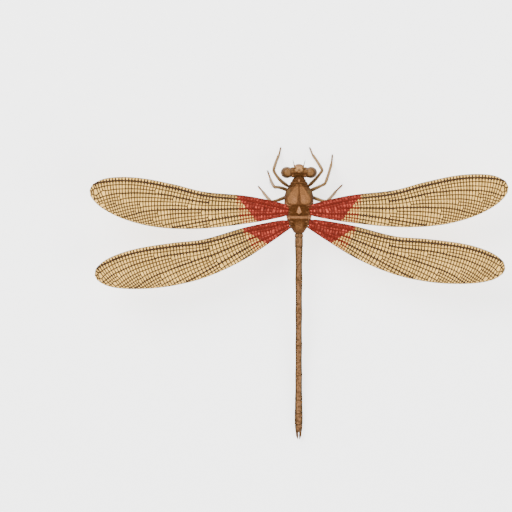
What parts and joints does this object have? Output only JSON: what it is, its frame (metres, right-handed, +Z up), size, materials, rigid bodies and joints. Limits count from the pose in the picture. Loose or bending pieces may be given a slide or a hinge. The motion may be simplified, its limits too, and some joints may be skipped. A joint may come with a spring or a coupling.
{
  "type": "rubyspot damselfly",
  "caption": "Life-size still model of a male rubyspot damselfly, wings spread flat with ruby bases, standing on its legs with the tail tip laid on the floor.",
  "frame": {"origin": "on the floor, at the middle of the model's footprint", "axes": "+Z up, the head looks along -Y, +X is the insect's left and runs along the wing span"},
  "size_m": [0.069, 0.0489, 0.0085],
  "materials": {
    "cuticle": "dark copper-brown insect cuticle with a faint metallic sheen",
    "face": "pale tan chitin",
    "eye": "glossy brown compound eye",
    "abdomen": "satin brown chitin with darker rings",
    "wing": "thin amber membrane with a net of brown veins and a ruby patch at the base",
    "leg": "satin brown chitin"
  },
  "bodies": {
    "root": {"head": "cuticle", "eye_left": "eye", "eye_right": "eye", "face": "face", "mouthparts": "face", "antenna_left": "leg", "antenna_right": "leg", "prothorax": "cuticle", "thorax": "cuticle", "abdomen_s01": "abdomen", "abdomen_s02": "abdomen", "abdomen_s03": "abdomen", "abdomen_s04": "abdomen", "abdomen_s05": "abdomen", "abdomen_s06": "abdomen", "abdomen_s07": "abdomen", "abdomen_s08": "abdomen", "abdomen_s09": "abdomen", "abdomen_s10": "abdomen", "clasper_left": "abdomen", "clasper_right": "abdomen", "forewing_left": "wing", "forewing_right": "wing", "hindwing_left": "wing", "hindwing_right": "wing", "foreleg_left": "leg", "foreleg_right": "leg", "midleg_left": "leg", "midleg_right": "leg", "hindleg_left": "leg", "hindleg_right": "leg"}
  },
  "joints": []
}
